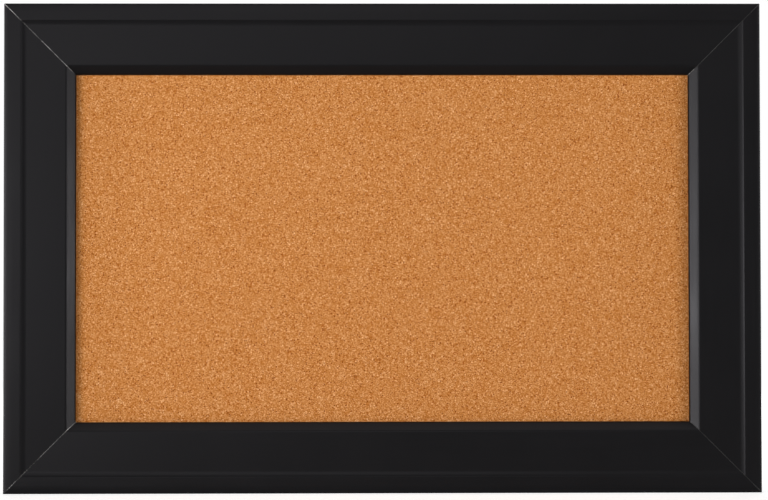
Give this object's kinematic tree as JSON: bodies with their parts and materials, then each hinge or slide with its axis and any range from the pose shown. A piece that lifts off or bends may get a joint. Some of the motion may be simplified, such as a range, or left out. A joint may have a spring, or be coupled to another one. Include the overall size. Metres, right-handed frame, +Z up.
{
  "type": "cork board",
  "caption": "Landscape cork notice board in a wide mitred black frame with a raised outer band and a bevelled inner edge, hung on a wall nail by a sawtooth hanger.",
  "frame": {"origin": "middle notch of the top sawtooth hanger, taken onto the wall's plane", "axes": "+X along the board's width to the right of someone facing it, +Y into the wall, +Z up; the cork faces -Y"},
  "size_m": [0.4318, 0.0234, 0.2794],
  "materials": {
    "frame_moulding": "satin",
    "cork": "matte",
    "fibreboard": "matte",
    "fastener_steel": "satin",
    "plated_hanger": "satin",
    "bumper_rubber": "matte"
  },
  "bodies": {
    "root": {"top_rail": "frame_moulding", "bottom_rail": "frame_moulding", "left_stile": "frame_moulding", "right_stile": "frame_moulding", "cork_sheet": "cork", "fibreboard_backing": "fibreboard", "v_nail_top_left_outer": "fastener_steel", "v_nail_top_left_inner": "fastener_steel", "v_nail_top_right_outer": "fastener_steel", "v_nail_top_right_inner": "fastener_steel", "v_nail_bottom_left_outer": "fastener_steel", "v_nail_bottom_left_inner": "fastener_steel", "v_nail_bottom_right_outer": "fastener_steel", "v_nail_bottom_right_inner": "fastener_steel", "retaining_point_top_1": "fastener_steel", "retaining_point_top_2": "fastener_steel", "retaining_point_top_3": "fastener_steel", "retaining_point_top_4": "fastener_steel", "retaining_point_bottom_1": "fastener_steel", "retaining_point_bottom_2": "fastener_steel", "retaining_point_bottom_3": "fastener_steel", "retaining_point_bottom_4": "fastener_steel", "retaining_point_left_1": "fastener_steel", "retaining_point_left_2": "fastener_steel", "retaining_point_right_1": "fastener_steel", "retaining_point_right_2": "fastener_steel", "top_hanger": "plated_hanger", "top_hanger_nail_1": "fastener_steel", "top_hanger_nail_2": "fastener_steel", "side_hanger": "plated_hanger", "side_hanger_nail_1": "fastener_steel", "side_hanger_nail_2": "fastener_steel", "bumper_top_left": "bumper_rubber", "bumper_top_right": "bumper_rubber", "bumper_bottom_left": "bumper_rubber", "bumper_bottom_right": "bumper_rubber"}
  },
  "joints": []
}
